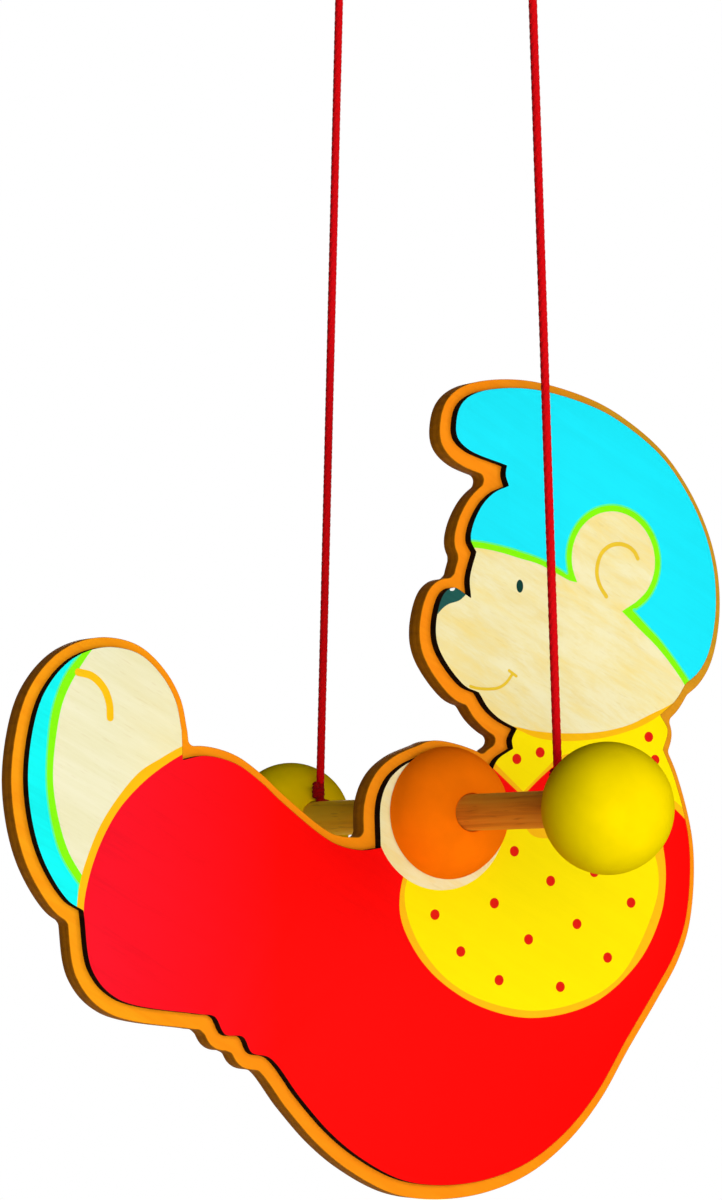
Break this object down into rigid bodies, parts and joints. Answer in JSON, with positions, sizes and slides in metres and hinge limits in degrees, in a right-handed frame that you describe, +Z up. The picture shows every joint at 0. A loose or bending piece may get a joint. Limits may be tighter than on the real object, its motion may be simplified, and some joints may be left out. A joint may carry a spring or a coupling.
{
  "type": "wooden yo-yo",
  "caption": "Flat wooden bear on a rod with ball ends, hung by two cords from a short hand bar; it winds up the cords and rolls down again.",
  "frame": {"origin": "middle of the hand bar that the two strings hang from, on the bar's axis and in the bear's middle plane", "axes": "+Z up, -Y towards the front picture and along the rod, -X towards the bear's feet and face"},
  "size_m": [0.1822, 0.1725, 0.304],
  "materials": {
    "core_wood": "plywood with an orange stained rim",
    "front_print": "plywood with a bright silk-printed picture, satin lacquer",
    "rear_print": "plywood with the same picture mirrored, satin lacquer",
    "half_ball_paint": "turned wood, satin orange paint",
    "rod_wood": "plain turned beech, satin",
    "ball_paint": "turned wood, satin yellow paint",
    "hand_bar_wood": "plain turned beech, satin",
    "string_cotton": "laid red cord",
    "knot_cotton": "laid red cord, tied"
  },
  "bodies": {
    "hand_bar": {"hand_bar": "hand_bar_wood", "front_upper_knot": "knot_cotton", "rear_upper_knot": "knot_cotton"},
    "strings": {"front_string": "string_cotton", "rear_string": "string_cotton"},
    "figure": {"core_board": "core_wood", "front_picture_plate": "front_print", "rear_picture_plate": "rear_print", "front_half_ball": "half_ball_paint", "rear_half_ball": "half_ball_paint", "rod": "rod_wood", "front_ball": "ball_paint", "rear_ball": "ball_paint", "front_lower_knot": "knot_cotton", "rear_lower_knot": "knot_cotton"}
  },
  "joints": [
    {"name": "climb", "type": "slide", "parent": "hand_bar", "child": "strings", "axis": [0, 0, 1], "range_m": [0, 0.0924], "deforming": ["front_string", "rear_string"]},
    {"name": "spin", "type": "hinge", "parent": "strings", "child": "figure", "pos_m": [0, 0, -0.208], "axis": [0, 1, 0], "range_deg": [0, 1080]}
  ],
  "couplings": [
    {"joint": "climb", "follows": "spin", "m_per_rad": 0.0049}
  ]
}
